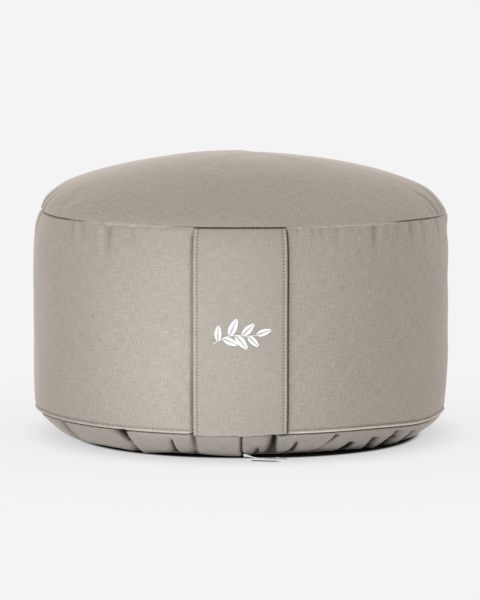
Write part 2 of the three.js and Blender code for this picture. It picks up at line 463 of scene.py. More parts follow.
def beside_band(angle, run):
    """The soft hollow of the wall and base along the band's left edge, and the narrow cleft
    along its right edge."""
    left = turn_from(angle, LEFT_OF_BAND) * WALL_ARC
    right = turn_from(angle, RIGHT_OF_BAND) * WALL_ARC
    hollow = (1.6 + 1.4 * hump(run - 135.0, 28.0)) * hump(left, 1.7)
    cleft = (2.0 + 1.6 * hump(run - 15.0, 45.0)) * hump(right, 0.75)
    hollow = hollow * (1 - smooth((run - EDGE_FOOT - 12.0) / 10.0))
    cleft = cleft * (1 - smooth((run - EDGE_TOP + 2.0) / 3.0))
    return -smooth((run - 2.0) / 5.0) * (hollow + cleft)


def slow_unevenness(angle, run):
    """The lumps of hand-filled cloth: slow waves everywhere, held still at the two seams."""
    held = (1 - hump(run, 10.0)) * (1 - hump(run - EDGE_RIDGE, 8.0))
    slow = 0.35 * waves(angle, run, seed=3, count=9, tightest=9, longest=150.0)
    small = 0.12 * waves(angle, run, seed=5, count=16, tightest=42, longest=34.0)
    return held * (slow * smooth((run - APEX) / 90.0) + small * smooth((run + 60.0) / 50.0))


def foot_rise(angle, run):
    """How far the base's lower edge stands up over the outline's own low edge."""
    total = 0.0
    for at, up, around in FOOT_RISES:
        total = total + up * hump(turn_from(angle, at), around)
    return total * hump(run - FOOT_RUN, 9.0)


def shallow_front(angle, run, radius, height):
    """How far the front of the crown lies below the full outline."""
    low = TOP_SEAM_HEIGHT + (CROWN_TOP - TOP_SEAM_HEIGHT) * (1 - (radius / TOP_SEAM_RADIUS) ** 2)
    share = SHALLOW_SHARE * window(angle, SHALLOW_FROM, SHALLOW_TO, SHALLOW_SOFT)
    return np.where(run < 0, share * np.maximum(height - low, 0.0), 0.0)


def cover_points(angle, run):
    """The cover's surface at angles and runs: the outline, moved along its normal by the swells,
    seams, gathers and pleats, moved up or down by the shifts, and kept above the floor."""
    angle, run = np.broadcast_arrays(angle + 0.0, run + 0.0)
    radius, height, normal_r, normal_z = outline_at(run)
    centre = smooth(radius / 40.0)
    pleat_out, pleat_round = pleat_all(angle, run)
    out = by_table(SWELLS, angle, run) + top_seam(angle, run) + lower_edge(angle, run)
    out = out + gather_all(angle, run) + pleat_out + half_join(angle, run)
    out = out + beside_band(angle, run) + slow_unevenness(angle, run)
    out = out * centre
    radius = np.maximum(radius + out * normal_r, 0.0)
    lower = shallow_front(angle, run, radius, height)
    height = height - lower + out * normal_z + by_table(SHIFTS, angle, run) * smooth(height / 20.0)
    height = height + foot_rise(angle, run)
    turned = angle + np.degrees(pleat_round / np.maximum(radius, 30.0))
    return polar(turned, radius, np.maximum(height, 0.0))


def cover_shade(angle, run):
    """How much painted shade darkens the cloth, from 0 to 1: in folds, clefts, gathers and by the
    floor.

    Beside a fold's edge, at a distance x on its dark side, the dark is exp(-(x / wide)^2.5), and
    where it is dark on both sides it is a bell.
    """
    angle, run = np.broadcast_arrays(angle + 0.0, run + 0.0)
    share = down_base(run)
    banded = window(angle, BAND_FROM, BAND_TO, UNDER_BAND_SOFT)
    shown = seam_shown(angle)
    total = 0.7 * shown * np.exp(-np.abs(run) / 0.45) * (1 - banded)
    under_edge = 1 - smooth(run - EDGE_FOOT - 0.9 - 0.3 * banded)
    total = total + (0.85 + 0.1 * banded) * smooth((run - EDGE_RIDGE - 0.4) / 0.5) * under_edge
    stitched = hump(run - SEAM_STITCHES, 0.8) * (1 - window(angle, -40.0, 34.0, 24.0))
    total = total + 0.22 * stitched
    for top, foot, side, start, end, above, below, dark in FOLD_SHADES:
        x = from_fold(angle, share, top, foot)
        wide = above + (below - above) * np.clip((share - start) / (end - start), 0.0, 1.0)
        if side == 0:
            over = hump(x, wide / 1.3)
        else:
            on_dark_side, beyond = np.maximum(x * side, 0.0), np.minimum(x * side, 0.0)
            over = np.exp(-(on_dark_side / wide) ** 2.5) * hump(beyond, 0.7)
        over = over * smooth((share - start + 0.03) / 0.08) * (1 - smooth((share - end) / 0.08))
        total = total + dark * over
    for (_, _, deep, wide, _, _, _, _), x, opened in list(pleat_places(angle, run))[len(PLEATS):]:
        tucked = np.exp(-(np.maximum(x, 0.0) / (0.6 * wide)) ** 1.6) * hump(np.minimum(x, 0.0), 0.5)
        total = total + opened * min(deep / 4.0, 1.0) * (0.2 + 0.5 * smooth(share)) * tucked
    total = total + np.clip(-half_join(angle, run) / HALF_JOIN_DEEP, 0.0, 1.0)
    left = turn_from(angle, LEFT_OF_BAND) * WALL_ARC
    right = turn_from(angle, RIGHT_OF_BAND) * WALL_ARC
    on_wall = smooth((run - 2.0) / 5.0) * (1 - smooth((run - EDGE_TOP + 1.0) / 3.0))
    total = total + on_wall * (0.35 * hump(left, 1.1) + 0.8 * hump(right, 0.8))
    by_floor = smooth((run - FOOT_RUN + 9.0) / 8.0) * (1 - smooth((run - FLOOR_RUN) / 12.0))
    creased = np.clip(-gather_all(angle, run) / GATHER_SHARE, 0.0, 1.0)
    return np.clip(total + 0.25 * by_floor + 0.17 * creased ** 1.4, 0.0, 1.0)


def cover_highlight(angle, run):
    """How much painted highlight lightens the cloth, from 0 to 2: on the lower edge's ridge, the top
    seam's roll, the gathers' ridges and the edges of the folds."""
    angle, run = np.broadcast_arrays(angle + 0.0, run + 0.0)
    share = down_base(run)
    banded = window(angle, BAND_FROM, BAND_TO, UNDER_BAND_SOFT)
    highlit = 0.65 + 0.85 * window(angle, 14.0, 84.0, 8.0)
    total = highlit * hump(run - EDGE_RIDGE + 0.1, 0.7) * (1 - banded) + 0.3 * hump(run + 1.5, 0.9)
    total = total + 0.32 * np.clip(gather_all(angle, run) / GATHER_SHARE, 0.0, 1.0)
    total = total + 0.6 * (1 - seam_shown(angle)) * (1 - banded) * hump(run - 0.7, 0.8)
    for top, foot, start, end, wide, light in FOLD_HIGHLIGHTS:
        over = hump(from_fold(angle, share, top, foot), wide)
        over = over * smooth((share - start) / 0.06) * (1 - smooth((share - end) / 0.06))
        total = total + 0.7 * light * over
    return np.clip(total, 0.0, 2.0)


# ---- the grid of the cover ----


def cover_columns(count):
    """The columns' angles: close at the front, where the pleats show, and wider at the back."""
    fine = np.linspace(-180.0, 180.0, 7201)
    dense = 1.0 + 2.2 * window(fine, -66.0, 84.0, 12.0)
    for at, close in ((LEFT_OF_BAND, 1.0), (RIGHT_OF_BAND, 0.7), (0.2, 0.5)):
        dense = dense + 5.0 * hump(turn_from(fine, at), close)
    for top, foot, *_ in ALL_PLEATS:
        dense = dense + 1.6 * hump(turn_from(fine, (top + foot) / 2), 2.0 + abs(foot - top) / 3)
    total = np.concatenate([[0.0], np.cumsum((dense[1:] + dense[:-1]) / 2)])
    return np.interp(np.linspace(0.0, total[-1], count, endpoint=False), total, fine)


def cover_rows():
    """The rows' runs: wide on the panels and close at the seams, the pleats and the floor's edge."""
    crown = APEX * (1 - np.linspace(0.0, 1.0, 34)) ** 1.25
    seam = np.array([3.4, 2.5, 1.8, 1.2, 0.75, 0.35])
    wall = np.linspace(5.0, SEAM_STITCHES - 3.0, 40)
    edge = np.arange(SEAM_STITCHES - 2.0, EDGE_FOOT + 3.0, 0.55)
    under = np.linspace(EDGE_FOOT + 3.6, FLOOR_RUN + 2.0, 34)
    base = FLOOR_RUN + 2.0 + (BASE_MIDDLE - FLOOR_RUN - 2.0) * np.linspace(0.0, 1.0, 9)[1:] ** 1.2
    crown = crown[crown < -4.4]
    return np.concatenate([crown, -seam, [0.0], seam[::-1], wall, edge, under, base])


# ---- meshes ----


def put_mesh(name, points, faces, material, uv=None):
    """A smooth-shaded mesh object in metres, from points in millimetres."""
    points = points * MM
    mesh = bpy.data.meshes.new(name)
    mesh.from_pydata(points.tolist(), [], faces)
    mesh.polygons.foreach_set("use_smooth", np.ones(len(mesh.polygons), bool))
    if uv is not None:
        layer = mesh.uv_layers.new(name="cloth")
        layer.uv.foreach_set("vector", uv.astype(np.float32).ravel())
    mesh.materials.append(material)
    mesh.validate()
    mesh.update()
    piece = bpy.data.objects.new(name, mesh)
    bpy.context.scene.collection.objects.link(piece)
    return piece


def add_piece(name, points, faces, slot, replaced=None, uv=None):
    """A piece of the cushion, which rides on its one body and has its slot's finish."""
    piece = put_mesh(name, points, faces, FINISHES[slot], uv)
    lit_pieces.objects.link(piece)
    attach(piece, "root")
    if replaced:
        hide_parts(replaced)
    return piece


def set_value(piece, name, values):
    """Stores one number for each vertex, for the material to read."""
    attribute = piece.data.attributes.new(name, "FLOAT", "POINT")
    attribute.data.foreach_set("value", np.asarray(values, np.float32).ravel())


def ring_faces(rows, columns):
    """Quads of a grid that is joined round: corners (i, j), (i+1, j), (i+1, j+1), (i, j+1)."""
    i = np.arange(rows - 1)[:, None]
    j = np.arange(columns)[None, :]
    after = (j + 1) % columns
    upper, lower = i * columns, (i + 1) * columns
    return np.stack([upper + j, lower + j, lower + after, upper + after], -1).reshape(-1, 4)


def closed_faces(rows, columns):
    """The quads of a joined grid and the two faces that close its first and its last row."""
    first = list(range(columns))
    last = [(rows - 1) * columns + j for j in reversed(first)]
    return ring_faces(rows, columns).tolist() + [first, last]


def corner_values(upper, lower):
    """Values at each quad's corners, from arrays of (rows - 1, columns + 1, n) along both edges."""
    stacked = np.stack([upper[:, :-1], lower[:, :-1], lower[:, 1:], upper[:, 1:]], 2)
    return stacked.reshape(-1, upper.shape[-1])


def closed_uv(x, y):
    """The flat places x and y of a joined grid at every corner of its closed faces."""
    flat = np.stack(np.broadcast_arrays(x, y), -1)
    flat = np.concatenate([flat, flat[:, :1]], 1)
    return np.concatenate([corner_values(flat[:-1], flat[1:]), flat[0, :-1], flat[-1, :-1][::-1]])


# ---- shader helper ----


class Socket:
    """An output of a shader node. Arithmetic on it adds Math nodes."""

    def __init__(self, shader, output):
        self.shader = shader
        self.output = output

    def math(self, operation, *others, swap=False):
        """A Math node's result, with this value first, or second where they are swapped."""
        sides = (others[0], self) if swap else (self, *others)
        return self.shader.node("ShaderNodeMath", {"operation": operation}, *sides)

    def __add__(self, other):
        return self.math("ADD", other)

    __radd__ = __add__

    def __mul__(self, other):
        return self.math("MULTIPLY", other)

    __rmul__ = __mul__

    def __sub__(self, other):
        return self.math("SUBTRACT", other)

    def __rsub__(self, other):
        return self.math("SUBTRACT", other, swap=True)

    def __truediv__(self, other):
        return self.math("DIVIDE", other)

    def __pow__(self, other):
        return self.math("POWER", other)

    def wave(self):
        """Its sine, moved to between 0 and 1."""
        return self.math("SINE") * 0.5 + 0.5

    def bell(self):
        """1 at 0, falling off evenly on both sides."""
        return self.math("POWER", 2.0).math("MULTIPLY", -1.0).math("EXPONENT")

    def between(self, low, high):
        """0 below low, 1 above high and an even S between them."""
        settings = {"interpolation_type": "SMOOTHSTEP"}
        return self.shader.node("ShaderNodeMapRange", settings, self, low, high, 0.0, 1.0)


class Shader:
    """A material and its nodes, written as expressions."""

    def __init__(self, name):
        self.material = bpy.data.materials.new(name)
        self.material.use_nodes = True
        self.tree = self.material.node_tree
        self.tree.nodes.clear()

    def make(self, kind, settings=None):
        """A bare node with its settings."""
        node = self.tree.nodes.new(kind)
        for key, value in (settings or {}).items():
            setattr(node, key, value)
        return node

    def fill(self, socket, value):
        """Links a value to an input, or writes a constant into it."""
        if isinstance(value, Socket):
            self.tree.links.new(value.output, socket)
        else:
            socket.default_value = value

    def node(self, kind, settings=None, *values, out=0, **named):
        """A node of any kind: its settings first, then its inputs in order or by name."""
        node = self.make(kind, settings)
        for socket, value in zip(node.inputs, values):
            self.fill(socket, value)
        for key, value in named.items():
            self.fill(node.inputs[key.replace("_", " ")], value)
        return Socket(self, node.outputs[out])

    def noise(self, at, scale, detail=2.0):
        """Even noise of about 0 to 1 at a place."""
        return self.node("ShaderNodeTexNoise", None, Vector=at, Scale=scale, Detail=detail)

    def place(self):
        """The place on the object, in metres."""
        return self.node("ShaderNodeTexCoord", out=3)

    def cloth(self):
        """The place on the flat cloth, in millimetres."""
        return self.node("ShaderNodeUVMap", {"uv_map": "cloth"})

    def bump(self, height, strength, distance):
        """A normal tipped by a height."""
        return self.node("ShaderNodeBump", None, Strength=strength, Distance=distance, Height=height)

    def parts(self, vector):
        """The first two numbers of a vector."""
        node = self.make("ShaderNodeSeparateXYZ")
        self.fill(node.inputs[0], vector)
        return Socket(self, node.outputs[0]), Socket(self, node.outputs[1])

    def toned(self, colour, tone):
        """A colour made lighter or darker by a tone around 1."""
        return self.node("ShaderNodeVectorMath", {"operation": "SCALE"}, colour, Scale=tone)

    def stored(self, name):
        """The number that the mesh keeps for each vertex under this name."""
        return self.node("ShaderNodeAttribute", {"attribute_name": name}, out=2)

    def finish(self, **inputs):
        """The Principled shader, its inputs by name, linked to the output."""
        shader = self.make("ShaderNodeBsdfPrincipled")
        for key, value in inputs.items():
            self.fill(shader.inputs[key.replace("_", " ")], value)
        output = self.make("ShaderNodeOutputMaterial")
        self.tree.links.new(shader.outputs[0], output.inputs[0])
        return self.material


# ---- the finishes ----

CLOTH_COLOUR = (0.3345, 0.2955, 0.261)
# The band is the same twill as the cover, its colour painted a little darker as shade on its flat
# face.
BAND_SHADED_COLOUR = tuple(0.955 * c for c in CLOTH_COLOUR)
THREAD_COLOUR = tuple(1.1 * c for c in CLOTH_COLOUR)
WHITE_THREAD = (0.76, 0.76, 0.75)
WHITE_SATIN = (0.88, 0.875, 0.86)

# The twill's ribs: their pitch, and how far they lean. Their tone is painted stronger in a zone of
# the wall, at this distance down from the top seam and this far each way, as painted highlight and
# shade where the light rakes the cloth.
RIB_PITCH = 1.5492
RIB_ACROSS, RIB_UP = math.sin(math.radians(38.0)), math.cos(math.radians(38.0))
RAKED_AT, RAKED_WIDE, RAKED_MORE = 103.0, 30.0, 2.8

# How much the painted shade of a needle hole, the stored painted shade and the stored painted
# highlight change the cloth's tone, and how far from its middle a needle hole's painted shade reaches
# and where that ends.
HOLE_SHADE, SHADE_DARK, HIGHLIGHT_GAIN = 0.62, 0.985, 0.8
HOLE_INSIDE, HOLE_EDGE = 0.3, 0.95
BROAD_TONE = 0.08

# Warp and weft threads are noise drawn long one way: its scale along u and v.
WARP_SCALE, WEFT_SCALE = (1.9, 0.12, 1.0), (0.12, 1.9, 1.0)
SATIN_RIB_PITCH = 0.6
CLOTH_SHEEN, SHEEN_TINT = 0.3, (1.0, 0.93, 0.84, 1.0)


def twill(name, colour, rib, speck, stitch_axis, stitch_pitch):
    """Cotton twill on a UV map in millimetres: fine diagonal ribs, crossing threads and slubs, the
    painted shade of the needle holes of the stitches that run along one axis of the map, and the
    painted shade and highlight that the mesh stores."""
    s = Shader(name)
    cloth = s.cloth()
    u, v = s.parts(cloth)
    wander = s.noise(cloth, 0.09, 1.0) * 1.6
    ribs = ((u * RIB_ACROSS + v * RIB_UP + wander) * (2 * math.pi / RIB_PITCH)).wave()
    warp, weft = (
        s.node("ShaderNodeMapping", {"vector_type": "POINT"}, cloth, Scale=scale)
        for scale in (WARP_SCALE, WEFT_SCALE)
    )
    threads = s.noise(warp, 1.0, 1.0) + s.noise(weft, 1.0, 1.0)
    grain = s.noise(cloth, 1.3)
    broad = s.noise(cloth, 0.018)
    raked = 1.0 + RAKED_MORE * ((v + RAKED_AT) / RAKED_WIDE).bell()
    tone = 1.0 + (ribs - 0.5) * raked * rib + (threads - 1.0) * speck
    tone = tone + (grain - 0.5) * speck + (broad - 0.5) * BROAD_TONE

    from_line = s.stored("from_stitches")
    between = (u, v)[stitch_axis] / stitch_pitch
    to_hole = (between.math("FRACT") - 0.5).math("ABSOLUTE") * stitch_pitch
    apart = (to_hole * to_hole + from_line * from_line).math("SQRT")
    # Painted shade in each needle hole, then the painted shade and painted highlight stored on the
    # mesh.
    tone = tone * (1.0 - HOLE_SHADE * (1.0 - apart.between(HOLE_INSIDE, HOLE_EDGE)))
    tone = tone * (1.0 - s.stored("shade") * SHADE_DARK) * (1.0 + s.stored("painted_highlight") * HIGHLIGHT_GAIN)
    return s.finish(
        Base_Color=s.toned(colour, tone),
        Roughness=0.82 + (grain - 0.5) * 0.12,
        Normal=s.bump(ribs * 0.6 + threads * 0.5 + grain * 0.5, 0.35, 0.00018),
        Specular_IOR_Level=0.24,
        Sheen_Weight=CLOTH_SHEEN,
        Sheen_Roughness=0.36,
        Sheen_Tint=SHEEN_TINT,
    )


def thread(name, colour, rough, sheen, scale):
    """Twisted thread: fine fibres, as even noise of tone, gloss and bump."""
    s = Shader(name)
    fuzz = s.noise(s.place(), 1000.0 * scale)
    return s.finish(
        Base_Color=s.toned(colour, 0.92 + fuzz * 0.16),
        Roughness=rough + (fuzz - 0.5) * 0.1,
        Normal=s.bump(fuzz, 0.3, 0.0001),
        Specular_IOR_Level=0.4,
        Sheen_Weight=sheen,
    )


def satin(name, colour):
    """Woven satin ribbon: a close rib across it, and fine fibres."""
    s = Shader(name)
    cloth = s.cloth()
    along = s.parts(cloth)[1]
    rib = (along * (2 * math.pi / SATIN_RIB_PITCH)).wave()
    fuzz = s.noise(cloth, 1.1)
    return s.finish(
        Base_Color=s.toned(colour, 0.93 + rib * 0.04 + fuzz * 0.05),
        Roughness=0.42 + fuzz * 0.1,
        Normal=s.bump(rib + fuzz, 0.25, 0.0001),
        Sheen_Weight=0.15,
    )


FINISHES = {
    "cover_twill": twill("greige_cover", CLOTH_COLOUR, 0.18, 0.52, 0, EDGE_PITCH),
    "band_twill": twill("greige_band", BAND_SHADED_COLOUR, 0.08, 0.42, 1, STITCH_PITCH),
    "seam_thread": thread("greige_thread", THREAD_COLOUR, 0.8, 0.2, 5.0),
    "embroidery_thread": thread("white_thread", WHITE_THREAD, 0.38, 0.3, 2.0),
    "label_satin": satin("white_satin", WHITE_SATIN),
}


# ---- the camera, the light and the floor ----

# The camera's place, how far it looks down in radians, and its focal length against the frame's
# height.
CAMERA_AT = (-0.5, -2301.0, 353.7)
CAMERA_DOWN = 0.108
FOCAL_LENGTH = 2901.0
FRAME_HEIGHT = 600.0
SENSOR = 36.0

STUDIO_COLOUR = (1.0, 0.983, 0.958, 1.0)

# The cushion's own lights, each an upright soft box.
LIGHTS = [
    # name, angle, outside the wall, height, width and height of the box, watts, colour
    ("key_light", -15.0, 210.0, 78.0, (134.0, 128.5), 0.35, (0.895, 0.978, 1.0)),
    ("rim_light", -160.0, 1100.0, 520.0, (1600.0, 500.0), 8.5, (1.0, 0.985, 0.975)),
]

# The floor: its half size, its grey and its glow, and the half width, the half depth, the middle
# and the roundness of the painted shadow under the cushion, where its grey is darker and it glows
# less.
FLOOR_HALF = 150000.0
FLOOR_GREY, FLOOR_GLOW = 0.20, (0.7055, 0.7055 * 1.001, 0.7055 * 1.01)
SHADOW_WIDE, SHADOW_DEEP = 135.5, 139.5
SHADOW_X, SHADOW_Y = 4.5, -2.5
SHADOW_ROUND = 2.2

# The stripe of painted shadow along the label's front edge: its start in metres, and which way it
# runs.
STRIPE_START, STRIPE_TURN = (0.007, -0.1522, 0.0), math.radians(-12.0)


def add_camera():
    """The camera at the front, level from side to side."""
    data = bpy.data.cameras.new("camera")
    data.sensor_width = SENSOR
    data.lens = SENSOR * FOCAL_LENGTH / FRAME_HEIGHT
    data.clip_end = 400.0
    camera = bpy.data.objects.new("camera", data)
    camera.location = [value * MM for value in CAMERA_AT]
    camera.rotation_euler = (math.pi / 2 - CAMERA_DOWN, 0.0, 0.0)
    bpy.context.scene.collection.objects.link(camera)
    bpy.context.scene.camera = camera


def add_strip_light(name, angle, away, height, size, power, colour, lit):
    """An upright soft box that faces the cushion's axis and lights only the pieces in "lit"."""
    data = bpy.data.lights.new(name, "AREA")
    data.shape = "RECTANGLE"
    data.size, data.size_y = size[0] * MM, size[1] * MM
    data.energy = power
    data.color = colour
    light = bpy.data.objects.new(name, data)
    place = Vector(polar(np.array(angle), WALL_RADIUS + away, height) * MM)
    axis = Vector((0.0, 0.0, min(height, CROWN_TOP) * MM))
    light.rotation_euler = (place - axis).to_track_quat("Z", "Y").to_euler()
    light.location = place
    light.visible_camera = False
    light.light_linking.receiver_collection = lit
    bpy.context.scene.collection.objects.link(light)


def add_world():
    """Even light from all round, faintly warm."""
    world = bpy.data.worlds.new("studio")
    world.use_nodes = True
    background = world.node_tree.nodes["Background"]
    background.inputs["Color"].default_value = STUDIO_COLOUR
    background.inputs["Strength"].default_value = 1.0
    bpy.context.scene.world = world


def add_floor():
    """A pale light table, which glows evenly all round a painted shadow under the cushion.

    The painted shadow is where (|x| / wide)^2.2 + (|y| / deep)^2.2 is less than 1, from its own
    middle, and it fades out over 50 mm beyond. A stripe of painted shadow along the front edge of the
    label is a little darker too.
    """
    half = FLOOR_HALF
    points = np.array([(-half, -half, 0.0), (half, -half, 0.0), (half, half, 0.0), (-half, half, 0.0)])
    s = Shader("floor_paper")
    place = s.place()
    x, y = s.parts(place)
    x, y = (x / MM - SHADOW_X).math("ABSOLUTE"), (y / MM - SHADOW_Y).math("ABSOLUTE")
    away = ((x * (SHADOW_DEEP / SHADOW_WIDE)) ** SHADOW_ROUND + y ** SHADOW_ROUND) ** (1 / SHADOW_ROUND)
    unshadowed = away.between(SHADOW_DEEP - 2.0, SHADOW_DEEP + 5.0)
    settings = {"vector_type": "TEXTURE"}
    stripe = s.node("ShaderNodeMapping", settings, place, STRIPE_START, (0.0, 0.0, STRIPE_TURN))
    along, off = s.parts(stripe)
    along, off = along / MM, off / MM
    # A stripe of painted shadow in front of the label's front edge.
    hidden = along.between(0.0, 3.0) * (1.0 - along.between(18.0, 26.0))
    hidden = hidden * off.between(-6.0, -2.5) * (1.0 - off.between(1.0, 2.0))
    unshadowed = unshadowed * (1.0 - hidden * 0.85)
    # A soft ramp of painted shadow reaches 50 mm further out.
    share = unshadowed * 0.8 + away.between(SHADOW_DEEP, SHADOW_DEEP + 50.0) * 0.2
    material = s.finish(
        Base_Color=s.toned((FLOOR_GREY, FLOOR_GREY, FLOOR_GREY), 0.2 + unshadowed * 0.8),
        Roughness=1.0,
        Specular_IOR_Level=0.0,
        Emission_Color=s.toned(FLOOR_GLOW, share),
        Emission_Strength=1.0,
    )
    material.cycles.emission_sampling = "NONE"
    floor = put_mesh("floor", points, [(0, 1, 2, 3)], material)


add_camera()
bpy.context.scene.view_settings.view_transform = "Standard"
add_world()
add_floor()
lit_pieces = bpy.data.collections.new("lit_pieces")
for light in LIGHTS:
    add_strip_light(*light, lit_pieces)


# ---- the cover ----


def cover_cloth_places(angle, run):
    """The cloth's own flat coordinates at each face corner of the cover, in millimetres.

    The crown and the base are discs, with each point at its distance along the cloth from their
    middle. The wall is a strip, with its ends joined under the band.
    """
    around = np.radians(np.concatenate([angle, [angle[0] + 360.0]]))
    compass = np.stack([np.sin(around), -np.cos(around)], -1)
    crown = (run - APEX)[:, None, None] * compass
    base = (BASE_MIDDLE - run)[:, None, None] * compass
    arc = (around % (2 * math.pi)) * WALL_RADIUS
    strip = np.stack(np.broadcast_arrays(arc[None, :], -run[:, None]), -1)
    middle = ((run[:-1] + run[1:]) / 2)[:, None, None]
    of_crown, of_wall = middle < 0, (middle > 0) & (middle < EDGE_FOOT + 0.3)
    upper = np.where(of_crown, crown[:-1], np.where(of_wall, strip[:-1], base[:-1]))
    lower = np.where(of_crown, crown[1:], np.where(of_wall, strip[1:], base[1:]))
    quads = corner_values(upper[1:-1], lower[1:-1])
    middles = np.zeros((len(angle), 2))
    top_fan = np.stack([middles, lower[0, :-1], lower[0, 1:]], 1)
    foot_fan = np.stack([middles, upper[-1, 1:], upper[-1, :-1]], 1)
    return np.concatenate([quads, top_fan.reshape(-1, 2), foot_fan.reshape(-1, 2)])


COVER_COLUMNS = 700

# The settling: the coarse copy's columns, its frames, its pressure and slack, the longest move in
# millimetres, and how much of it the crown and the wall keep.
SIM_COLUMNS, SIM_FRAMES = 240, 20
SIM_PRESSURE, SIM_SLACK = 4.0, 0.006
SIM_CAP = 3.0
CROWN_SHARE, WALL_SHARE = 0.25, 0.7
# Angles this near the front are left out of a ring's mean, because the band holds them.
SIM_FRONT = 24.0
# A distance from the stitches at which no needle hole shows.
NO_HOLES = 99.0


def held_cloth(angle, run):
    """How firmly the sewing, the band and the floor hold the cloth while it settles, from 0 to 1."""
    sewn = np.maximum(hump(run, 1.5), hump(run - EDGE_RIDGE, 3.0))
    under_band = window(angle, BAND_FROM, BAND_TO, 6.0) * (run > 0)
    resting = smooth((run - FOOT_RUN + 8.0) / 6.0)
    return np.clip(np.maximum(np.maximum(sewn, resting), under_band), 0.0, 1.0)


def run_cloth(places, faces, held):
    """Blender's Cloth on a mesh in metres: where its points are after the last frame.

    The filling's pressure and a little slack make it swell and wrinkle between the points that
    are held, each as firmly as "held" says, from 0 to 1.
    """
    mesh = bpy.data.meshes.new("settling")
    mesh.from_pydata(places.tolist(), [], faces)
    cloth = bpy.data.objects.new("settling", mesh)
    bpy.context.scene.collection.objects.link(cloth)
    group = cloth.vertex_groups.new(name="held")
    for index, weight in enumerate(held.tolist()):
        group.add([index], weight, "REPLACE")
    simulated = cloth.modifiers.new("Cloth", "CLOTH")
    settings = simulated.settings
    settings.quality = 6
    settings.mass = 0.3
    settings.tension_stiffness = settings.compression_stiffness = 15.0
    settings.shear_stiffness = 5.0
    settings.bending_stiffness = 0.5
    settings.use_pressure = True
    settings.uniform_pressure_force = SIM_PRESSURE
    settings.shrink_min = -SIM_SLACK
    settings.vertex_group_mass = "held"
    settings.effector_weights.gravity = 0.0
    simulated.point_cache.frame_end = SIM_FRAMES
    for step in range(1, SIM_FRAMES + 1):
        bpy.context.scene.frame_set(step)
    moved = cloth.evaluated_get(bpy.context.evaluated_depsgraph_get()).to_mesh()
    after = np.empty(len(moved.vertices) * 3, np.float32)
    moved.vertices.foreach_get("co", after)
    bpy.data.objects.remove(cloth)
    bpy.data.meshes.remove(mesh)
    bpy.context.scene.frame_set(1)
    return after


def to_cushion_axes(by, angle):
    """Moves along x, y and z as moves outward, round and up, for a grid with these columns."""
    turn = np.radians(angle)[None, :]
    outward = by[..., 0] * np.sin(turn) - by[..., 1] * np.cos(turn)
    round_by = by[..., 0] * np.cos(turn) + by[..., 1] * np.sin(turn)
    return np.stack([outward, round_by, by[..., 2]], -1)


def from_cushion_axes(by, angle):
    """Moves outward, round and up as moves along x, y and z, for a grid with these columns."""
    turn = np.radians(angle)[None, :]
    x = by[..., 0] * np.sin(turn) + by[..., 1] * np.cos(turn)
    y = -by[..., 0] * np.cos(turn) + by[..., 1] * np.sin(turn)
    return np.stack([x, y, by[..., 2]], -1)


def settle_cloth():
    """How a coarse copy of the cover settles between the seams that hold it.

    Gives the coarse grid's angles and runs, and how far each point moved outward, round and up,
    less its ring's mean, which keeps the outline, and capped at a few millimetres.
    """
    angle = np.linspace(-180.0, 180.0, SIM_COLUMNS, endpoint=False)
    run = np.concatenate([
        np.linspace(APEX, -4.0, 38)[1:], [0.0], np.linspace(4.0, EDGE_RIDGE - 4.0, 35), [EDGE_RIDGE],
        np.linspace(EDGE_FOOT + 3.0, FOOT_RUN, 8), np.linspace(FOOT_RUN, BASE_MIDDLE, 12)[1:-1],
    ])
    before = cover_points(angle[None, :], run[:, None])
    rows, columns = before.shape[:2]
    held = held_cloth(angle[None, :], run[:, None]).ravel()
    after = run_cloth(before.reshape(-1, 3) * MM, closed_faces(rows, columns), held)

    by = to_cushion_axes(after.reshape(before.shape) / MM - before, angle)
    clear = np.abs(turn_from(angle, 0.0)) > SIM_FRONT
    by = by - by[:, clear].mean(1, keepdims=True)
    long = np.linalg.norm(by, axis=-1, keepdims=True)
    share = np.where(run < 0, CROWN_SHARE, WALL_SHARE)[:, None, None]
    by = by * np.minimum(1.0, SIM_CAP / np.maximum(long, 1e-6)) * share
    return angle, run, by


def add_settling(grid, angle, run):
    """Moves the fine grid as the settled coarse cloth moved, read between its points."""
    coarse_angle, coarse_run, by = settle_cloth()
    closed_angle = np.concatenate([coarse_angle, [180.0]])
    by = np.concatenate([by, by[:, :1]], 1)
    j = np.interp((angle + 180.0) % 360.0 - 180.0, closed_angle, np.arange(len(closed_angle)))
    i = np.interp(run, coarse_run, np.arange(len(coarse_run)))
    i0 = np.minimum(i.astype(int), len(coarse_run) - 2)
    j0 = np.minimum(j.astype(int), len(closed_angle) - 2)
    di, dj = (i - i0)[:, None, None], (j - j0)[None, :, None]
    one, two = by[i0][:, j0], by[i0][:, j0 + 1]
    three, four = by[i0 + 1][:, j0], by[i0 + 1][:, j0 + 1]
    by = (one * (1 - dj) + two * dj) * (1 - di) + (three * (1 - dj) + four * dj) * di
    by = by * (1 - held_cloth(angle[None, :], run[:, None]))[..., None]
    centre = smooth((run - APEX) / 20.0)[:, None, None]
    return grid + from_cushion_axes(by, angle) * centre


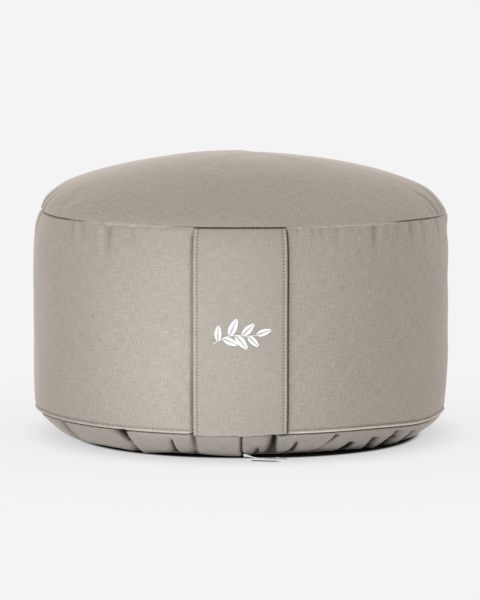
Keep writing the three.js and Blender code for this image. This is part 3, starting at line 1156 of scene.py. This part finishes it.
def cover_piece():
    """The cover: its grid, and a fan of triangles at the crown's and at the base's middle."""
    angle, run = cover_columns(COVER_COLUMNS), cover_rows()
    grid = cover_points(angle[None, :], run[:, None])
    grid = add_settling(grid, angle, run)
    rows, columns = len(run) - 2, len(angle)
    top, foot = grid[0].mean(0), grid[-1].mean(0)
    points = np.concatenate([grid[1:-1].reshape(-1, 3), [top, foot]])
    first, last = rows * columns, rows * columns + 1
    j = np.arange(columns)
    k = (j + 1) % columns
    fan_top = np.stack([np.full(columns, first), j, k], 1)
    fan_foot = np.stack([np.full(columns, last), first - columns + k, first - columns + j], 1)
    faces = ring_faces(rows, columns).tolist() + fan_top.tolist() + fan_foot.tolist()

    uv = cover_cloth_places(angle, run)
    piece = add_piece("cushion_cover", points, faces, "cover_twill", "cushion", uv)
    hidden = 0.35 * window(angle, -40.0, 28.0, 26.0)
    from_seam = np.hypot((run[1:-1] - SEAM_STITCHES)[:, None], hidden[None, :])
    set_value(piece, "from_stitches", np.concatenate([from_seam.ravel(), [NO_HOLES, NO_HOLES]]))
    # The cover's painted shade and painted highlight, stored for its twill.
    for name, measure in (("shade", cover_shade), ("painted_highlight", cover_highlight)):
        values = measure(angle[None, :], run[1:-1, None])
        set_value(piece, name, np.concatenate([values.ravel(), [0.0, 0.0]]))


cover_piece()


# ---- the carrying band ----

# Half the band's width, the angle of its middle, its thickness, how far its back stands off the
# wall, and the run at which its upper end is caught in the seam.
BAND_HALF = math.radians((BAND_TO - BAND_FROM) / 2) * (WALL_RADIUS + 1.2)
BAND_MIDDLE = (BAND_FROM + BAND_TO) / 2
BAND_THICK = 1.9
BAND_GAP = 0.3
BAND_TOP_RUN = 0.9
# The middle of the puffed strip, inwards from the band's edge.
BAND_PUFF_IN = 1.4


def band_angle(across):
    """The angle of a place across the band, which is in millimetres from its middle."""
    return BAND_MIDDLE + across / BAND_HALF * (BAND_TO - BAND_FROM) / 2


def band_foot(across):
    """The run of the band's lower end, a little wavy and higher towards its right side."""
    lower = 0.3 - 1.6 * smooth((across - 12.0) / 20.0)
    return EDGE_FOOT + lower + 0.22 * np.sin(across / 4.6 + 0.6) + 0.15 * np.sin(across / 2.1)


def band_relief(across, run):
    """The front's relief: a dip along each stitch line, a puffed strip outside it, soft dents."""
    from_edge = BAND_HALF - np.abs(across)
    dip = 0.6 * hump(from_edge - BAND_STITCH_IN, 0.8)
    puff = 0.35 * hump(from_edge - BAND_PUFF_IN, 0.9)
    slow = 0.16 * waves(across * 2.0, run, seed=31, count=7, tightest=5, longest=70.0)
    crease = 0.30 * hump(run - 149.0, 1.5) * (hump(across + 27.0, 7.0) + hump(across - 22.0, 8.0))
    return puff + slow * smooth(from_edge / 8.0) - dip - crease


def band_lift(across, run):
    """How far the band stands off the wall: most at its right edge, by both ends."""
    right = smooth((across - 18.0) / 16.0)
    left = smooth((-across - 26.0) / 8.0)
    return right * (0.5 * hump(run - 22.0, 30.0) + 0.4 * hump(run - 140.0, 16.0) + 0.15) + 0.2 * left


def band_points(across, run, out):
    """Points of the band: across it, at a run, and so far outside the wall's own outline."""
    radius, height, normal_r, normal_z = outline_at(run)
    away = out + band_lift(across, run) * smooth((run - 3.0) / 8.0)
    under = slow_unevenness(band_angle(across), run)
    away = away + np.maximum(under, -0.2)
    return polar(band_angle(across), radius + away * normal_r, height + away * normal_z)


def band_front(across, run):
    """The band's front face, with its thickness and relief."""
    return band_points(across, run, BAND_GAP + BAND_THICK + band_relief(across, run))


def band_section():
    """The band's section, a flat loop with half round edges: each point's place across the band,
    and its side, from 1 on the front to -1 on the back.

    The front's points lie closer by the edges, at |x|^0.8, and the back has every third of them.
    """
    face = np.linspace(-1.0, 1.0, 61)
    face = np.sign(face) * np.abs(face) ** 0.8
    back = face[::-3]
    edge = np.radians(np.linspace(90.0, -90.0, 9))[1:-1]
    turn, up = np.cos(edge) * BAND_THICK / 2, np.sin(edge)
    reach = BAND_HALF - BAND_THICK / 2
    across = np.concatenate([face * reach, reach + turn, back * reach, -reach - turn[::-1]])
    side = np.concatenate([np.ones(len(face)), up, -np.ones(len(back)), up[::-1]])
    return across, side


def band_piece():
    """The band as one closed strip: its section, carried down the wall from the recess of the top
    seam, into which it dives, to its turned lower end, where it thins out as a quarter round."""
    across, side = band_section()
    upper = [0.0, 0.003, 0.007, 0.013, 0.02, 0.03]
    lower = [0.97, 0.978, 0.984, 0.99, 0.9945, 0.9975, 1.0]
    share = np.concatenate([upper, np.linspace(0.045, 0.955, 90), lower])[:, None]
    foot = band_foot(across)[None, :]
    run = BAND_TOP_RUN + (foot - BAND_TOP_RUN) * share
    to_foot = foot - run
    thin = np.sqrt(np.clip(1 - (1 - np.clip(to_foot / 1.1, 0.0, 1.0)) ** 2, 0.02, 1.0))
    thin = thin * np.clip(0.25 + (run - BAND_TOP_RUN) / 0.9, 0.0, 1.0)
    dive = 3.3 * (1 - smooth((run - BAND_TOP_RUN) / 2.6)) ** 1.5
    relief = band_relief(across[None, :], run) * np.maximum(side, 0.0)[None, :]
    out = BAND_GAP + BAND_THICK / 2 + (side[None, :] * BAND_THICK / 2 + relief) * thin - dive
    grid = band_points(np.broadcast_to(across[None, :], run.shape), run, out)
    faces, uv = closed_faces(*run.shape), closed_uv(across[None, :], -run)
    piece = add_piece("carry_band_cloth", grid.reshape(-1, 3), faces, "band_twill", "carry_band", uv)
    from_line = BAND_HALF - BAND_STITCH_IN - np.abs(across)
    from_line = np.where(side > 0.5, from_line, NO_HOLES)
    set_value(piece, "from_stitches", np.broadcast_to(from_line[None, :], run.shape))
    # Painted shade where the band's upper end dives into the seam's recess, and painted highlight on
    # its puffed strips and on the roll at its foot.
    set_value(piece, "shade", 0.9 * (1 - smooth((run - BAND_TOP_RUN - 0.6) / 0.9)))
    painted_highlight = hump(BAND_HALF - BAND_PUFF_IN - np.abs(across), 0.9)[None, :] + hump(to_foot - 1.0, 1.0)
    set_value(piece, "painted_highlight", 0.14 * np.clip(painted_highlight, 0.0, 1.0))
    flat = (2 * BAND_HALF * MM, float(foot.max() - BAND_TOP_RUN) * MM)


band_piece()


# ---- threads ----

# Each thread's sides and rings, and the seams' threads: how thick and long they are, and how far
# they stand out.
THREAD_SIDES, THREAD_RINGS = 6, 5
THREAD_THICK = 0.55
STITCH_LONG, STITCH_BOW = 1.7, 0.22


def outward_from_axis(points):
    """The level direction away from the cushion's axis at each point."""
    away = points * np.array([1.0, 1.0, 0.0])
    return away / np.linalg.norm(away, axis=1, keepdims=True)


def add_threads(name, start, end, thick, bow, slot):
    """Many short threads as one mesh: each a capsule from start to end that bows outward.

    Along a thread, t from 0 to 1, its middle lies at start + (end - start) × t + outward × bow ×
    sin(pi t), and its radius is thick / 2 × (1 - |2t - 1|^4) ^ 0.5 between two pointed ends.
    """
    count = len(start)
    along = end - start
    unit = along / np.linalg.norm(along, axis=1, keepdims=True)
    outward = outward_from_axis(start)
    outward = outward - (outward * unit).sum(1, keepdims=True) * unit
    outward = outward / np.linalg.norm(outward, axis=1, keepdims=True)
    beside = np.cross(unit, outward)
    t = np.linspace(0.0, 1.0, THREAD_RINGS + 2)[1:-1]
    round_by = np.linspace(0.0, 2 * math.pi, THREAD_SIDES, endpoint=False)
    size = thick / 2 * (1 - np.abs(2 * t - 1) ** 4) ** 0.5
    bowed = outward[:, None] * (bow * np.sin(math.pi * t))[:, None]
    middle = start[:, None] + along[:, None] * t[:, None] + bowed
    ring = np.cos(round_by)[:, None] * outward[:, None, None]
    ring = ring + np.sin(round_by)[:, None] * beside[:, None, None]
    points = middle[:, :, None] + size[None, :, None, None] * ring
    points = np.concatenate([points.reshape(count, -1, 3), start[:, None], end[:, None]], 1)
    each = THREAD_RINGS * THREAD_SIDES
    j = np.arange(THREAD_SIDES)
    k = (j + 1) % THREAD_SIDES
    first = np.stack([np.full(THREAD_SIDES, each), k, j], 1)
    end_ring = each - THREAD_SIDES
    last = np.stack([np.full(THREAD_SIDES, each + 1), end_ring + j, end_ring + k], 1)
    step = (each + 2) * np.arange(count)[:, None, None]
    quads = ring_faces(THREAD_RINGS, THREAD_SIDES)[:, ::-1]
    faces = (quads[None] + step).reshape(-1, 4).tolist()
    faces += (np.concatenate([first, last])[None] + step).reshape(-1, 3).tolist()
    add_piece(name, points.reshape(-1, 3), faces, slot)


def band_stitches():
    """Two rows of lockstitches down the band, just inside its edges."""
    runs = np.arange(3.6, EDGE_TOP - 1.2, STITCH_PITCH)
    across = np.repeat([-(BAND_HALF - BAND_STITCH_IN), BAND_HALF - BAND_STITCH_IN], len(runs))
    runs = np.tile(runs, 2)
    start = band_front(across, runs)
    end = band_front(across, runs + STITCH_LONG)
    add_threads("band_stitches", start, end, THREAD_THICK, STITCH_BOW, "seam_thread")


def edge_stitches():
    """A row of lockstitches round the wall's lower edge, which stops at the band."""
    step = math.degrees(EDGE_PITCH / WALL_RADIUS)
    angle = np.arange(BAND_TO + 1.0, 360.0 + BAND_FROM - 1.0 - step, step)
    start = cover_points(angle, SEAM_STITCHES)
    end = cover_points(angle + step * STITCH_LONG / EDGE_PITCH, SEAM_STITCHES)
    add_threads("edge_stitches", start, end, THREAD_THICK, STITCH_BOW, "seam_thread")


band_stitches()
edge_stitches()


# ---- the embroidered sprig ----

# The sprig's middle on the band, and how far its stitches' ends stand off the cloth.
SPRIG_MIDDLE_RUN, SPRIG_ACROSS = 80.5, 1.0
SPRIG_LIFT = 0.1
SATIN_PITCH, SATIN_THICK, SATIN_BOW = 0.42, 0.62, 0.30
SATIN_SLANT = 0.9
STEM_STITCHES = 39

# Leaves of the sprig: where on the stem, on which side, how far they open from it, and their size.
LEAVES = [
    # on the stem, turn in degrees, long, wide
    (0.08, 56, 12.0, 5.2),
    (0.20, -50, 12.5, 5.4),
    (0.36, 54, 14.5, 6.2),
    (0.50, -50, 14.0, 6.0),
    (0.66, 50, 13.0, 5.6),
    (0.80, -44, 11.5, 5.0),
    (1.00, 4, 12.0, 5.0),
]


def stem_at(t):
    """The stem: x runs from left to right, and y is a shallow S that rises to the right."""
    x = -20.0 + 31.0 * t
    y = -6.5 + 8.5 * t + 2.4 * np.sin(2 * math.pi * t * 0.75)
    return np.stack([x, y], -1)


def sprig_threads():
    """Start and end of every satin stitch, as x and y on the band.

    Each half of a leaf is a row of slanted stitches from its midrib to its margin, and the
    margin's half width at a share s of the length is wide / 2 × sin(pi × s^0.85)^0.8.
    """
    starts, ends = [], []
    for on_stem, opening, long, wide in LEAVES:
        root = stem_at(np.array(on_stem))
        way = stem_at(np.array(on_stem + 0.01)) - stem_at(np.array(on_stem - 0.01))
        turned = math.atan2(way[1], way[0]) + math.radians(opening)
        along = np.array([math.cos(turned), math.sin(turned)])
        beside = np.array([-along[1], along[0]])
        share = np.arange(0.02, 0.93, SATIN_PITCH / long)
        for half in (-1, 1):
            slant = SATIN_SLANT * wide / 2 / long * np.sin(math.pi * share ** 0.85)
            tip = np.minimum(share + slant, 1.0)
            margin = wide / 2 * np.clip(np.sin(math.pi * tip ** 0.85), 0.0, 1.0) ** 0.8
            starts.append(root + share[:, None] * long * along + 0.14 * half * beside)
            ends.append(root + tip[:, None] * long * along + (margin + 0.3)[:, None] * half * beside)
    t = np.linspace(-0.04, 1.0, STEM_STITCHES + 1)
    starts.append(stem_at(t[:-1]))
    ends.append(stem_at(t[1:] + 0.012))
    return np.concatenate(starts), np.concatenate(ends)


def sprig_piece():
    """The sprig's stitches, laid on the band's front."""
    lifted = []
    for flat in sprig_threads():
        places = band_front(flat[:, 0] + SPRIG_ACROSS, SPRIG_MIDDLE_RUN - flat[:, 1])
        lifted.append(places + outward_from_axis(places) * SPRIG_LIFT)
    add_threads("embroidered_sprig", *lifted, SATIN_THICK, SATIN_BOW, "embroidery_thread")


sprig_piece()


# ---- the label ----

# The label's front and back corners: at its root, with how high they stand, and at its tip.
LABEL_ROOT = ((1.9, -148.0, 3.3), (2.6, -144.4, 1.05))
LABEL_TIP = ((33.0, -156.5), (36.5, -142.5))
LABEL_WIDE, LABEL_LONG, LABEL_THICK = 10.5, 33.0, 0.45
# The share of its length at which the label has come down to the floor, and its height over it.
LABEL_SETTLED = 0.40
LABEL_OVER_FLOOR = 0.06
# The width of its weave's map, which is that of its wide end, and its points from front to back.
WEAVE_WIDE = 14.4
LABEL_POINTS = 21


def label_piece():
    """The label as one closed ribbon: its front face and back face on a grid of along × across.

    It bends down from the seam and lies on the floor, its front edge lifting in a low bell, with
    one soft fold across it by the tip.
    """
    along = np.linspace(0.0, 1.0, 61)[:, None]
    ring = np.linspace(0.0, 1.0, LABEL_POINTS)
    ring = np.concatenate([ring, ring[::-1]])[None, :]
    top = np.concatenate([np.ones(LABEL_POINTS), np.zeros(LABEL_POINTS)])[None, :]
    root_x, root_y, root_lift = (
        (1 - ring) * front + ring * back for front, back in zip(*LABEL_ROOT)
    )
    tip_x, tip_y = ((1 - ring) * front + ring * back for front, back in zip(*LABEL_TIP))
    x = root_x + (tip_x - root_x) * along
    y = root_y + (tip_y - root_y) * along - 1.6 * np.sin(math.pi * along) * (1 - ring)
    lift = (1 - smooth(along / LABEL_SETTLED)) * root_lift
    curl = 0.9 * hump(along - 0.45, 0.28) * (1 - ring) ** 3
    fold = 0.7 * hump(along - 0.86 + 0.12 * ring, 0.035) * (1 - 0.5 * ring)
    height = LABEL_OVER_FLOOR + lift + curl + fold + LABEL_THICK * top
    grid = np.stack([x, y, height], -1)
    faces, uv = closed_faces(*height.shape), closed_uv(WEAVE_WIDE * ring, LABEL_LONG * along)
    piece = add_piece("care_label_ribbon", grid.reshape(-1, 3), faces, "label_satin", "care_label", uv)


label_piece()
